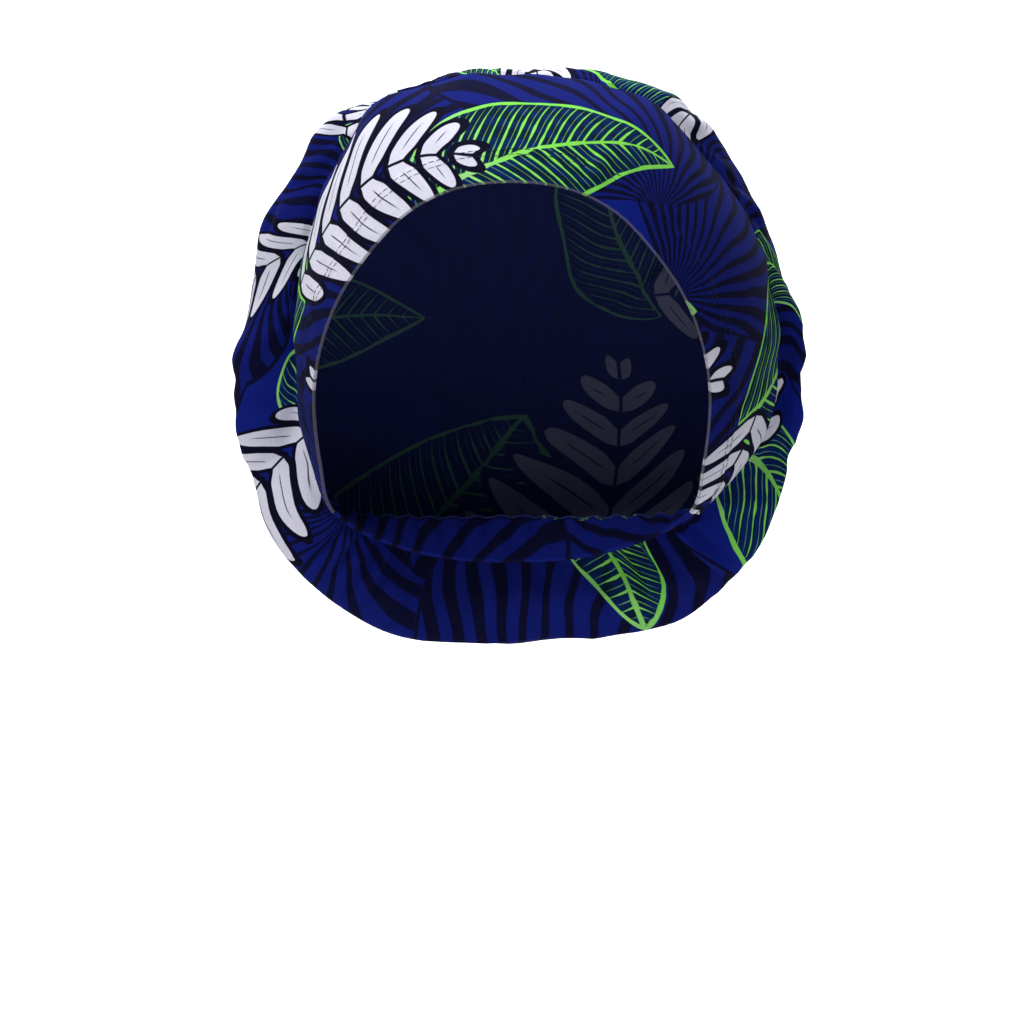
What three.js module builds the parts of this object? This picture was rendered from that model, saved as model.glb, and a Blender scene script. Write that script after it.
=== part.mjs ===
// A bouffant scrub cap of printed cotton, in the form it has when it is worn: a wide front panel over
// the brow and the ears, a full bag behind it, and a gathered casing for the elastic across the nape.
// Millimetres, +Z up, with the face opening towards -Y and the wearer's left at +X.
// The origin is the point inside the cap that the crown of the head bears on.
import * as THREE from "three";

// The opening: the edge that runs from the brow, down in front of the ears and round the nape.
const openingHalfWidth = 76.5;
const browDrop = 44;
const napeDrop = 187;
const browForward = 75.5;
const napeBack = 66;

// The seam that joins the panel and the casing to the bag.
const seamHalfWidth = 84.5;
const seamPull = 22;
const seamRise = 2;
const seamDrop = 170;
const seamForward = 18;
const seamBack = 78;

// The girth: the bag's widest outline, as it shows from the front.
const girthHalfWidth = 113.5;
const girthRise = 4.5;
const girthDrop = 221;
const girthTopBack = 25;
const girthBottomBack = 92;
const bagLean = 7;

// The middle of the bag's back.
const bagBack = 150;
const bagBackDrop = 118;

// Cloth, its seams and its shaping.
const bagWall = 1.2;
const panelWall = 1.5;
const hemWall = 2.2;
const hemWidth = 12;
const hemFade = 4;
const casingWall = 2;
const seamGap = 0.5;
const crownRadius = 90;
const bagTakeoff = 11;
const bagFlareRatio = 0.22;
const napeFlareRatio = 1.6;
const arrivalShare = 0.55;
const backExponent = 2.15;
const foldHeight = 5;
const gatherHeight = 3.2;
const casingRipple = 1;
const gathersAcrossNape = 9;

// Facets of the walls.
const panelColumns = 64;
const panelRows = 8;
const columnsPerGather = 6;
const casingRows = 3;
const bagFrontColumns = 62;
const bagRows = 18;

// Rows of a ring run from the brow to the nape, each one station further round. across is a share of
// the ring's half width, drop of its height and back of its depth. pull is a share of seamPull, by which
// the fullness of the bag draws the seam outwards on the wearer's left, and lean a share of bagLean, to
// the same side.
const openingRows = [
  { across: 0, drop: 0, back: 0 },
  { across: 0.275, drop: 0.017, back: 0.021 },
  { across: 0.503, drop: 0.073, back: 0.069 },
  { across: 0.68, drop: 0.164, back: 0.124 },
  { across: 0.843, drop: 0.28, back: 0.22 },
  { across: 0.95, drop: 0.409, back: 0.346 },
  { across: 1, drop: 0.552, back: 0.491 },
  { across: 0.976, drop: 0.727, back: 0.597 },
  { across: 0.915, drop: 0.86, back: 0.703 },
  { across: 0.497, drop: 0.972, back: 0.908 },
  { across: 0, drop: 1, back: 1 },
];
const seamRows = [
  { across: 0, drop: 0, back: 0, pull: 0 },
  { across: 0.343, drop: 0.015, back: 0.021, pull: 0 },
  { across: 0.615, drop: 0.058, back: 0.094, pull: 0.1 },
  { across: 0.781, drop: 0.163, back: 0.208, pull: 0.35 },
  { across: 0.888, drop: 0.279, back: 0.323, pull: 0.65 },
  { across: 0.953, drop: 0.419, back: 0.438, pull: 0.9 },
  { across: 0.994, drop: 0.581, back: 0.552, pull: 1 },
  { across: 0.994, drop: 0.773, back: 0.646, pull: 0.8 },
  { across: 0.828, drop: 0.968, back: 0.688, pull: 0.25 },
  { across: 0.473, drop: 1, back: 0.875, pull: 0 },
  { across: 0, drop: 1, back: 1, pull: 0 },
];
const girthRows = [
  { across: 0, drop: 0, back: 0, lean: 0 },
  { across: 0.298, drop: 0.008, back: -0.015, lean: 0.2 },
  { across: 0.52, drop: 0.056, back: 0.015, lean: 0.2 },
  { across: 0.725, drop: 0.145, back: 0.104, lean: 0.2 },
  { across: 0.885, drop: 0.25, back: 0.224, lean: 0.2 },
  { across: 0.958, drop: 0.392, back: 0.343, lean: 0.2 },
  { across: 1, drop: 0.533, back: 0.433, lean: 0.3 },
  { across: 0.97, drop: 0.676, back: 0.522, lean: 0.3 },
  { across: 0.852, drop: 0.818, back: 0.642, lean: 0.5 },
  { across: 0.55, drop: 0.955, back: 0.881, lean: 1 },
  { across: 0, drop: 1, back: 1, lean: 1 },
];
const panelEndShare = 0.8;
const napeBlendShare = 0.1;
const girthShare = 0.34;
const gatherMiddleShare = 0.12;
const gatherSpreadShare = 0.24;

// Soft folds and dents of the bag. turn is the place round the seam, 0 over the brow and 1 at the nape,
// and less than zero on the wearer's right. reach runs from the seam, 0, to the middle of the back, 1.
// height is a share of foldHeight, and below zero for a dent.
const folds = [
  { turn: -0.16, spread: 0.065, reach: 0.12, length: 0.26, height: -1.7 },
  { turn: -0.06, spread: 0.045, reach: 0.14, length: 0.26, height: 0.25 },
  { turn: 0.02, spread: 0.045, reach: 0.08, length: 0.2, height: -0.3 },
  { turn: 0.1, spread: 0.07, reach: 0.14, length: 0.26, height: 0.4 },
  { turn: 0.22, spread: 0.05, reach: 0.12, length: 0.22, height: 0.6 },
  { turn: -0.26, spread: 0.06, reach: 0.16, length: 0.26, height: 0.4 },
  { turn: -0.47, spread: 0.05, reach: 0.26, length: 0.3, height: -0.6 },
  { turn: 0.42, spread: 0.05, reach: 0.24, length: 0.3, height: -0.35 },
  { turn: -0.6, spread: 0.05, reach: 0.24, length: 0.22, height: 0.35 },
  { turn: 0.61, spread: 0.05, reach: 0.24, length: 0.22, height: 0.3 },
  { turn: -0.71, spread: 0.05, reach: 0.14, length: 0.4, height: -0.7 },
  { turn: 0.7, spread: 0.05, reach: 0.14, length: 0.4, height: -0.6 },
  { turn: -0.24, spread: 0.12, reach: 0.62, length: 0.24, height: -1.2 },
  { turn: 0.3, spread: 0.1, reach: 0.68, length: 0.22, height: -0.9 },
  { turn: 0.02, spread: 0.14, reach: 0.56, length: 0.2, height: -1.3 },
  { turn: -0.62, spread: 0.07, reach: 0.62, length: 0.3, height: -1 },
  { turn: 0.66, spread: 0.07, reach: 0.6, length: 0.3, height: -1 },
];

// A closed curve through a ring's rows and their mirror images. turn 0 is over the brow, and 1 and -1
// are the nape.
function ringThrough(rows, { halfWidth, pull = 0, top, bottom, front, rear, lean = 0 }) {
  const point = (row, side) =>
    new THREE.Vector3(
      side * row.across * halfWidth + Math.max(side, 0) * pull * (row.pull ?? 0) + lean * (row.lean ?? 0),
      THREE.MathUtils.lerp(front, rear, row.back),
      THREE.MathUtils.lerp(top, bottom, row.drop),
    );
  const left = rows.map((row) => point(row, 1));
  const right = rows.slice(1, -1).map((row) => point(row, -1));
  const curve = new THREE.CatmullRomCurve3([...left, ...right.reverse()], true, "centripetal");
  return (turn) => curve.getPoint(THREE.MathUtils.euclideanModulo(turn / 2, 1));
}

const openingAt = ringThrough(openingRows, {
  halfWidth: openingHalfWidth,
  top: -browDrop,
  bottom: -napeDrop,
  front: -browForward,
  rear: napeBack,
});
const seamAt = ringThrough(seamRows, {
  halfWidth: seamHalfWidth,
  pull: seamPull,
  top: seamRise,
  bottom: -seamDrop,
  front: -seamForward,
  rear: seamBack,
});
const girthAt = ringThrough(girthRows, {
  halfWidth: girthHalfWidth,
  lean: bagLean,
  top: girthRise,
  bottom: -girthDrop,
  front: girthTopBack,
  rear: girthBottomBack,
});
const bagMiddle = new THREE.Vector3(bagLean, bagBack, -bagBackDrop);

// How much of the nape's shaping holds at a place round the ring: none on the panel, and all of it
// across the casing.
function napeShare(turn) {
  const fromNape = Math.abs(THREE.MathUtils.euclideanModulo(turn, 2) - 1);
  const casingEnd = 1 - panelEndShare;
  return 1 - THREE.MathUtils.smoothstep(fromNape, casingEnd - napeBlendShare, casingEnd + napeBlendShare);
}

// How high the elastic's gathers stand at a place round the ring.
function gatherWave(turn) {
  const fromNape = Math.abs(THREE.MathUtils.euclideanModulo(turn, 2) - 1);
  const pitch = (2 * (1 - panelEndShare)) / gathersAcrossNape;
  const fade = THREE.MathUtils.smoothstep(1 - panelEndShare - fromNape, 0, pitch);
  return fade * Math.cos((2 * Math.PI * fromNape) / pitch);
}

// The panel and the casing are one band from the opening, across 0, to the seam, across 1, and it lies
// on the head as an arc of the crown's radius.
function bandFrame(turn) {
  const ringStep = 1e-3;
  const edge = openingAt(turn);
  const chord = seamAt(turn).sub(edge);
  const round = openingAt(turn + ringStep).sub(openingAt(turn - ringStep));
  const outward = round.cross(chord).normalize();
  return { edge, chord, outward, sagitta: chord.lengthSq() / (8 * crownRadius) };
}
function bandAt(turn, across) {
  const { edge, chord, outward, sagitta } = bandFrame(turn);
  const rise = 4 * across * (1 - across) * sagitta + across * casingRipple * gatherWave(turn);
  return edge.addScaledVector(chord, across).addScaledVector(outward, rise);
}

// The bag before its folds: from the seam out to the girth, then round to the middle of the back.
function plainBagAt(turn, reach) {
  const alongStep = 1e-3;
  const along = bandAt(turn, 1).sub(bandAt(turn, 1 - alongStep)).normalize();
  const start = bandAt(turn, 1).addScaledVector(along, seamGap + bagWall / 2);
  const girth = girthAt(turn);
  if (reach < girthShare) {
    const nape = napeShare(turn);
    const radial = girth.clone().sub(bagMiddle).setY(0).normalize();
    const napeFlare = bandFrame(turn).outward.multiplyScalar(napeFlareRatio);
    const flare = radial.multiplyScalar(bagFlareRatio).lerp(napeFlare, nape);
    const leave = along.add(flare).normalize();
    return new THREE.CubicBezierCurve3(
      start,
      start.clone().addScaledVector(leave, bagTakeoff),
      girth.clone().setY(THREE.MathUtils.lerp(girth.y, start.y, arrivalShare)),
      girth,
    ).getPoint(reach / girthShare);
  }
  const angle = ((reach - girthShare) / (1 - girthShare)) * (Math.PI / 2);
  const inwards = Math.max(Math.cos(angle), 0) ** (2 / backExponent);
  const backwards = Math.sin(angle) ** (2 / backExponent);
  return new THREE.Vector3(
    THREE.MathUtils.lerp(bagMiddle.x, girth.x, inwards),
    THREE.MathUtils.lerp(girth.y, bagMiddle.y, backwards),
    THREE.MathUtils.lerp(bagMiddle.z, girth.z, inwards),
  );
}

// A smooth rise from 0 to 1 and back, one to either side of the middle.
function swell(distance) {
  return Math.abs(distance) < 1 ? Math.cos((distance * Math.PI) / 2) ** 2 : 0;
}

// The height of the folds and gathers over the plain bag.
function bagRelief(turn, reach) {
  const fold = folds.reduce((sum, { turn: at, spread, reach: middle, length, height }) => {
    const round = THREE.MathUtils.euclideanModulo(turn - at + 1, 2) - 1;
    return sum + height * foldHeight * swell(round / (2 * spread)) * swell((reach - middle) / length);
  }, 0);
  const gather = gatherHeight * gatherWave(turn) * swell((reach - gatherMiddleShare) / gatherSpreadShare);
  return (fold + gather) * THREE.MathUtils.smoothstep(reach, 0, girthShare / 4);
}

// The outward direction of a surface given as a function of its place round the ring and across it.
function outwardOf(surface, turn, across) {
  const step = 1e-3;
  const before = Math.max(across - step, 0);
  const after = Math.min(across + step, 1 - step);
  const round = surface(turn + step, across).sub(surface(turn - step, across));
  const over = surface(turn, after).sub(surface(turn, Math.min(before, after - step)));
  return round.cross(over).normalize();
}
function bagAt(turn, reach) {
  const outward = outwardOf(plainBagAt, turn, reach);
  return plainBagAt(turn, reach).addScaledVector(outward, bagRelief(turn, reach));
}

// A closed wall of cloth on a surface: two skins, half the wall to either side, joined at their edges.
// Its columns run round the ring and its rows across it. A wall that goes all the way round ends in a
// pole.
function clothWall(surface, wallAt, { turns, rows, pole = null }) {
  const corners = [];
  const faces = [];
  const columns = turns.length - 1;
  const columnCount = pole ? columns : columns + 1;
  const rowCount = pole ? rows : rows + 1;
  const place = (column, row, side) => {
    const turn = turns[column];
    const across = row / rows;
    const outward = outwardOf(surface, turn, across);
    return surface(turn, across).addScaledVector(outward, (side * wallAt(turn, across)) / 2);
  };
  const index = (column, row, side) => {
    const skin = side > 0 ? 0 : columnCount * rowCount;
    return skin + (column % columnCount) * rowCount + row;
  };
  for (const side of [1, -1]) {
    for (let column = 0; column < columnCount; column += 1) {
      for (let row = 0; row < rowCount; row += 1) {
        corners.push(place(column, row, side));
      }
    }
  }
  const quad = (a, b, c, d) => faces.push(a, c, b, a, d, c);
  for (let column = 0; column < columns; column += 1) {
    const next = column + 1;
    for (let row = 0; row < rowCount - 1; row += 1) {
      const over = row + 1;
      quad(index(column, row, 1), index(column, over, 1), index(next, over, 1), index(next, row, 1));
      quad(index(column, row, -1), index(next, row, -1), index(next, over, -1), index(column, over, -1));
    }
    quad(index(column, 0, 1), index(next, 0, 1), index(next, 0, -1), index(column, 0, -1));
    if (!pole) {
      quad(index(column, rows, -1), index(next, rows, -1), index(next, rows, 1), index(column, rows, 1));
    }
  }
  if (pole) {
    for (const side of [1, -1]) {
      corners.push(pole.clone().setY(pole.y + (side * wallAt(0, 1)) / 2));
      const tip = corners.length - 1;
      for (let column = 0; column < columns; column += 1) {
        const rim = [index(column, rowCount - 1, side), index(column + 1, rowCount - 1, side)];
        faces.push(tip, ...(side > 0 ? rim : rim.reverse()));
      }
    }
  } else {
    const end = columns;
    for (let row = 0; row < rows; row += 1) {
      const over = row + 1;
      quad(index(0, row, -1), index(0, over, -1), index(0, over, 1), index(0, row, 1));
      quad(index(end, row, 1), index(end, over, 1), index(end, over, -1), index(end, row, -1));
    }
  }
  const places = corners.flatMap((corner) => corner.toArray());
  const geometry = new THREE.BufferGeometry();
  geometry.setAttribute("position", new THREE.Float32BufferAttribute(places, 3));
  geometry.setIndex(faces);
  geometry.computeVertexNormals();
  return geometry;
}

const royalCotton = new THREE.MeshStandardMaterial({ color: 0x15198a, roughness: 0.82, metalness: 0 });
const shadedCotton = new THREE.MeshStandardMaterial({ color: 0x101a5c, roughness: 0.85, metalness: 0 });

const group = new THREE.Group();
function addPiece(name, geometry, material) {
  const mesh = new THREE.Mesh(geometry, material);
  mesh.name = name;
  group.add(mesh);
}

function evenTurns(from, to, columns) {
  const turnAt = (_, column) => THREE.MathUtils.lerp(from, to, column / columns);
  return Array.from({ length: columns + 1 }, turnAt);
}

// The wide panel, thicker at its turned and stitched face edge.
function panelWallAt(turn, across) {
  const width = bandFrame(turn).chord.length();
  const inHem = 1 - THREE.MathUtils.smoothstep(across * width, hemWidth, hemWidth + hemFade);
  return THREE.MathUtils.lerp(panelWall, hemWall, inHem);
}
const panelTurns = evenTurns(-panelEndShare, panelEndShare, panelColumns);
const panel = clothWall(bandAt, panelWallAt, { turns: panelTurns, rows: panelRows });
addPiece("front_panel", panel, royalCotton);

// The casing across the nape, which holds the elastic and stands in gathers. It stops just clear of the
// panel.
const probe = 1e-3;
const roundSpeed = openingAt(panelEndShare + probe).distanceTo(openingAt(panelEndShare)) / probe;
const endGap = seamGap / roundSpeed;
const napeColumns = gathersAcrossNape * columnsPerGather;
const casingTurns = evenTurns(panelEndShare + endGap, 2 - panelEndShare - endGap, napeColumns);
const casing = clothWall(bandAt, () => casingWall, { turns: casingTurns, rows: casingRows });
addPiece("nape_casing", casing, shadedCotton);

// The full bag, with closer columns where it is gathered.
const bagTurns = [
  ...evenTurns(-panelEndShare, panelEndShare, bagFrontColumns),
  ...evenTurns(panelEndShare, 2 - panelEndShare, napeColumns).slice(1),
];
const bag = clothWall(bagAt, () => bagWall, { turns: bagTurns, rows: bagRows, pole: bagMiddle });
addPiece("crown_bag", bag, royalCotton);

export default group;
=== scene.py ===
import math
import bpy
import bmesh
from mathutils import Matrix, Vector, noise


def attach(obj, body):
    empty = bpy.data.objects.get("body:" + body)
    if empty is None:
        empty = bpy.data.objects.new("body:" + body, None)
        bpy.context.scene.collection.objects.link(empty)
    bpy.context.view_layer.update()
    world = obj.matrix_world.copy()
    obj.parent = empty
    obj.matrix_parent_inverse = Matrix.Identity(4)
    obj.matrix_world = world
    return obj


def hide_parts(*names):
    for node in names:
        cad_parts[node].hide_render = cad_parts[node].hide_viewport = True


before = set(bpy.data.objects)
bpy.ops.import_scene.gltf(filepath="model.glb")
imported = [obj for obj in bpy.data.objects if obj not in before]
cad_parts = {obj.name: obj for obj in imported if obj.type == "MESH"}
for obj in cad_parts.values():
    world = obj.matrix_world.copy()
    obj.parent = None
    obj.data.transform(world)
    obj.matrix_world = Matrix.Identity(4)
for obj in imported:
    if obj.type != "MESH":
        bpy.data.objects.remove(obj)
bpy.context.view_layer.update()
scene = bpy.context.scene

# Lengths are in metres. The opening is the cap's edge round the face and under the nape.
OPENING = dict(half_width=0.0765, pull=0.0, top=-0.044, bottom=-0.187, front=-0.0755, rear=0.066, lean=0.0)
SEAM = dict(half_width=0.0845, pull=0.022, top=0.002, bottom=-0.170, front=-0.018, rear=0.078, lean=0.0)
GIRTH = dict(half_width=0.1135, pull=0.0, top=0.0045, bottom=-0.221, front=0.025, rear=0.092, lean=0.007)
BAG_MIDDLE = Vector((0.007, 0.150, -0.118))
CROWN_RADIUS = 0.090
PANEL_END = 0.8
NAPE_BLEND = 0.1
GIRTH_REACH = 0.34
BACK_SQUARENESS = 2.15
BAG_TAKEOFF = 0.011
BAG_FLARE = 0.22
NAPE_FLARE = 1.6
ARRIVAL_SHARE = 0.55
SEAM_GAP = 0.0001
BAG_CLOTH = 0.0009
PANEL_CLOTH = 0.0014
CASING_CLOTH = 0.0018
FOLDED_EDGE = 0.0004
FOLDED_EDGE_ANGLE = math.radians(50)
MERGE_DISTANCE = 1e-6
GATHERS = 17
FOLD_HEIGHT = 0.005
GATHER_HEIGHT = 0.0027
GATHER_MIDDLE = 0.12
GATHER_SPREAD = 0.22
GATHER_UNEVENNESS = 0.5
BAND_RIPPLE = 0.001
TURN_STEP = 0.001

# Rows of each ring from the brow to the nape: across, drop and back as shares of its half width, height and
# depth, then pull and lean as shares of the ring's own.
OPENING_ROWS = [
    (0, 0, 0, 0, 0),
    (0.275, 0.017, 0.021, 0, 0),
    (0.503, 0.073, 0.069, 0, 0),
    (0.68, 0.164, 0.124, 0, 0),
    (0.843, 0.28, 0.22, 0, 0),
    (0.95, 0.409, 0.346, 0, 0),
    (1, 0.552, 0.491, 0, 0),
    (0.976, 0.727, 0.597, 0, 0),
    (0.915, 0.86, 0.703, 0, 0),
    (0.497, 0.972, 0.908, 0, 0),
    (0, 1, 1, 0, 0),
]
SEAM_ROWS = [
    (0, 0, 0, 0, 0),
    (0.343, 0.015, 0.021, 0, 0),
    (0.615, 0.058, 0.094, 0.1, 0),
    (0.781, 0.163, 0.208, 0.35, 0),
    (0.888, 0.279, 0.323, 0.65, 0),
    (0.953, 0.419, 0.438, 0.9, 0),
    (0.994, 0.581, 0.552, 1, 0),
    (0.994, 0.773, 0.646, 0.8, 0),
    (0.828, 0.968, 0.688, 0.25, 0),
    (0.473, 1, 0.875, 0, 0),
    (0, 1, 1, 0, 0),
]
GIRTH_ROWS = [
    (0, 0, 0, 0, 0),
    (0.298, 0.008, -0.015, 0, 0.2),
    (0.52, 0.056, 0.015, 0, 0.2),
    (0.725, 0.145, 0.104, 0, 0.2),
    (0.885, 0.25, 0.224, 0, 0.2),
    (0.958, 0.392, 0.343, 0, 0.2),
    (1, 0.533, 0.433, 0, 0.3),
    (0.97, 0.676, 0.522, 0, 0.3),
    (0.852, 0.818, 0.642, 0, 0.5),
    (0.55, 0.955, 0.881, 0, 1),
    (0, 1, 1, 0, 1),
]

# Soft folds and dents of the bag: turn round the seam (0 over the brow, 1 at the nape, below 0 on the wearer's
# right), spread, reach (0 at the seam, 1 at the middle of the back), length, and height as a share of FOLD_HEIGHT.
FOLDS = [
    (-0.16, 0.065, 0.12, 0.26, -1.7),
    (-0.06, 0.045, 0.14, 0.26, 0.25),
    (0.02, 0.045, 0.08, 0.2, -0.3),
    (0.1, 0.07, 0.14, 0.26, 0.4),
    (0.22, 0.05, 0.12, 0.22, 0.6),
    (-0.26, 0.06, 0.16, 0.26, 0.4),
    (-0.47, 0.05, 0.26, 0.3, -0.6),
    (0.42, 0.05, 0.24, 0.3, -0.35),
    (-0.6, 0.05, 0.24, 0.22, 0.35),
    (0.61, 0.05, 0.24, 0.22, 0.3),
    (-0.71, 0.05, 0.14, 0.4, -0.7),
    (0.7, 0.05, 0.14, 0.4, -0.6),
    (-0.24, 0.12, 0.62, 0.24, -1.2),
    (0.3, 0.1, 0.68, 0.22, -0.9),
    (0.02, 0.14, 0.56, 0.2, -1.3),
    (-0.62, 0.07, 0.62, 0.3, -1.0),
    (0.66, 0.07, 0.6, 0.3, -1.0),
]

# Swells of the full bag, then narrow creases that the elastic's ends and the seam draw into it: turn at the seam,
# how far the turn shifts by the middle of the back, spread, reach, length, and height as a share of FOLD_HEIGHT.
CREASES = [
    (-0.245, 0.0, 0.045, 0.28, 0.22, 1.1),
    (0.255, 0.0, 0.06, 0.28, 0.24, 0.9),
    (0.57, 0.0, 0.06, 0.34, 0.26, 0.4),
    (0.73, 0.0, 0.06, 0.30, 0.26, 0.1),
    (-0.79, 0.10, 0.012, 0.12, 0.20, 0.46),
    (-0.755, 0.16, 0.011, 0.18, 0.26, -0.50),
    (-0.715, 0.20, 0.014, 0.22, 0.30, 0.46),
    (-0.66, 0.22, 0.012, 0.26, 0.24, -0.40),
    (-0.59, 0.10, 0.012, 0.20, 0.20, 0.30),
    (0.785, -0.12, 0.012, 0.12, 0.22, 0.46),
    (0.745, -0.18, 0.012, 0.20, 0.28, -0.52),
    (0.70, -0.20, 0.013, 0.24, 0.26, 0.44),
    (0.64, -0.16, 0.011, 0.22, 0.22, -0.40),
    (0.56, -0.08, 0.012, 0.16, 0.18, 0.28),
    (-0.36, 0.12, 0.012, 0.14, 0.16, 0.20),
    (-0.30, 0.16, 0.012, 0.16, 0.18, -0.24),
    (0.31, -0.14, 0.012, 0.15, 0.17, 0.22),
    (0.26, -0.10, 0.011, 0.17, 0.16, -0.20),
    (-0.45, 0.15, 0.022, 0.52, 0.28, 0.55),
    (-0.38, 0.20, 0.020, 0.58, 0.26, -0.55),
    (0.50, -0.18, 0.022, 0.54, 0.28, 0.55),
    (0.43, -0.12, 0.020, 0.60, 0.26, -0.50),
    (0.88, 0.05, 0.022, 0.50, 0.32, 0.55),
    (-0.90, -0.05, 0.020, 0.55, 0.32, 0.50),
    (0.98, 0.0, 0.018, 0.46, 0.30, -0.55),
]


def mix(low, high, share):
    return low + (high - low) * share


def ease(low, high, value):
    share = min(max((value - low) / (high - low), 0.0), 1.0)
    return share * share * (3 - 2 * share)


def swell(distance):
    return math.cos(distance * math.pi / 2) ** 2 if abs(distance) < 1 else 0.0


def round_from(turn, place):
    """The signed way round the ring from a place, between -1 and 1."""
    return (turn - place + 1) % 2 - 1


def ring_point(row, side, ring):
    across, drop, back, pull, lean = row
    return Vector((
        side * across * ring["half_width"] + max(side, 0) * pull * ring["pull"] + lean * ring["lean"],
        mix(ring["front"], ring["rear"], back),
        mix(ring["top"], ring["bottom"], drop),
    ))


def ring_through(rows, ring):
    """A closed smooth curve through a ring's rows and their mirror images, as a function of the turn."""
    left = [ring_point(row, 1, ring) for row in rows]
    right = [ring_point(row, -1, ring) for row in rows[1:-1]]
    points = left + right[::-1]
    count = len(points)

    def at(turn):
        place = (turn / 2 % 1) * count
        first = int(place) % count
        share = place - int(place)
        before, start, end, after = (points[(first + step) % count] for step in (-1, 0, 1, 2))
        near, middle, far = (math.sqrt((b - a).length) for a, b in ((before, start), (start, end), (end, after)))
        leave = ((start - before) / near - (end - before) / (near + middle) + (end - start) / middle) * middle
        arrive = ((end - start) / middle - (after - start) / (middle + far) + (after - end) / far) * middle
        bend = (start - end) * 2 + leave + arrive
        lift = (end - start) * 3 - leave * 2 - arrive
        return ((bend * share + lift) * share + leave) * share + start

    return at


opening_at = ring_through(OPENING_ROWS, OPENING)
seam_at = ring_through(SEAM_ROWS, SEAM)
girth_at = ring_through(GIRTH_ROWS, GIRTH)


def gather_wave(turn):
    """The height of the elastic's gathers round the nape, between -1 and 1."""
    from_nape = abs(round_from(turn, 1))
    pitch = 2 * (1 - PANEL_END) / GATHERS
    return ease(0, pitch, 1 - PANEL_END - from_nape) * math.cos(2 * math.pi * from_nape / pitch)


def nape_share(turn):
    from_nape = abs(round_from(turn, 1))
    return 1 - ease(1 - PANEL_END - NAPE_BLEND, 1 - PANEL_END + NAPE_BLEND, from_nape)


def band_frame(turn):
    """The band's edge, the chord from it to the seam, and the way out from the head."""
    edge = opening_at(turn)
    chord = seam_at(turn) - edge
    way_round = opening_at(turn + TURN_STEP) - opening_at(turn - TURN_STEP)
    return edge, chord, way_round.cross(chord).normalized()


def band_at(turn, across):
    """A point of the panel or the casing: the turn round the head, and across from the edge to the seam."""
    edge, chord, outward = band_frame(turn)
    rise = 4 * across * (1 - across) * chord.length_squared / (8 * CROWN_RADIUS)
    return edge + chord * across + outward * (rise + across * BAND_RIPPLE * gather_wave(turn))


def bag_column(turn):
    """A function of reach that gives the bag's plain surface at this turn."""
    seam = band_at(turn, 1)
    along = (seam - band_at(turn, 1 - TURN_STEP)).normalized()
    start = seam + along * (SEAM_GAP + BAG_CLOTH / 2)
    girth = girth_at(turn)
    radial = girth - BAG_MIDDLE
    radial.y = 0
    nape = nape_share(turn)
    flare = (radial.normalized() * BAG_FLARE).lerp(band_frame(turn)[2] * NAPE_FLARE, nape)
    leave = start + (along + flare).normalized() * BAG_TAKEOFF
    arrive = Vector((girth.x, mix(girth.y, start.y, ARRIVAL_SHARE), girth.z))

    def at(reach):
        if reach < GIRTH_REACH:
            share = reach / GIRTH_REACH
            rest = 1 - share
            return (start * rest ** 3 + leave * 3 * rest ** 2 * share
                    + arrive * 3 * rest * share ** 2 + girth * share ** 3)
        angle = (reach - GIRTH_REACH) / (1 - GIRTH_REACH) * math.pi / 2
        inwards = max(math.cos(angle), 0) ** (2 / BACK_SQUARENESS)
        backwards = math.sin(angle) ** (2 / BACK_SQUARENESS)
        return Vector((
            mix(BAG_MIDDLE.x, girth.x, inwards),
            mix(girth.y, BAG_MIDDLE.y, backwards),
            mix(BAG_MIDDLE.z, girth.z, inwards),
        ))

    return at


def bag_relief(turn, reach):
    """How far the folds and gathers stand out from the plain bag."""
    fold = sum(
        height * FOLD_HEIGHT * swell(round_from(turn, place) / (2 * spread)) * swell((reach - middle) / length)
        for place, spread, middle, length, height in FOLDS
    )
    crease = sum(
        height * FOLD_HEIGHT * swell(round_from(turn, place + shift * reach) / (2 * spread))
        * swell((reach - middle) / length)
        for place, shift, spread, middle, length, height in CREASES
    )
    uneven = 1 + GATHER_UNEVENNESS * noise.noise(Vector((round_from(turn, 1) * 21, 0.5, 3.0)))
    gather = GATHER_HEIGHT * uneven * gather_wave(turn) * swell((reach - GATHER_MIDDLE) / GATHER_SPREAD)
    return (fold + crease + gather) * ease(0, GIRTH_REACH / 4, reach)


def new_piece(name):
    piece = bpy.data.objects.new(name, bpy.data.meshes.new(name))
    scene.collection.objects.link(piece)
    return piece


def cloth_grid(name, columns, rows, place, flat_place):
    """A sheet of cloth from a grid: place(u, v) puts a corner in space and flat_place(u, v) on the flat cut."""
    piece = new_piece(name)
    bm = bmesh.new()
    bmesh.ops.create_grid(bm, x_segments=columns, y_segments=rows, size=0.5)
    flat = bm.loops.layers.uv.new("flat_cut")
    across = bm.verts.layers.float_vector.new("share")
    for vert in bm.verts:
        vert[across] = (vert.co.x + 0.5, vert.co.y + 0.5, 0)
    for face in bm.faces:
        for loop in face.loops:
            u, v, _ = loop.vert[across]
            loop[flat].uv = flat_place(u, v)
    for vert in bm.verts:
        u, v, _ = vert[across]
        vert.co = place(u, v)
    return piece, bm, across


def raise_relief(bm, share_layer, relief):
    """Moves each corner along its own normal by relief(u, v)."""
    bm.normal_update()
    lifts = [(vert, vert.normal * relief(*vert[share_layer][:2])) for vert in bm.verts]
    for vert, lift in lifts:
        vert.co += lift


def finish_mesh(piece, bm):
    for face in bm.faces:
        face.smooth = True
    bm.to_mesh(piece.data)
    bm.free()


def add_wall(piece, thickness, even=True, rim=0):
    """Gives a sheet its thickness. Its reverse takes the second material, and rim picks the one of its edges."""
    wall = piece.modifiers.new("cloth", "SOLIDIFY")
    wall.thickness = thickness
    wall.offset = 0
    wall.use_even_offset = even
    wall.use_quality_normals = True
    wall.material_offset = 1
    wall.material_offset_rim = rim


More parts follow.
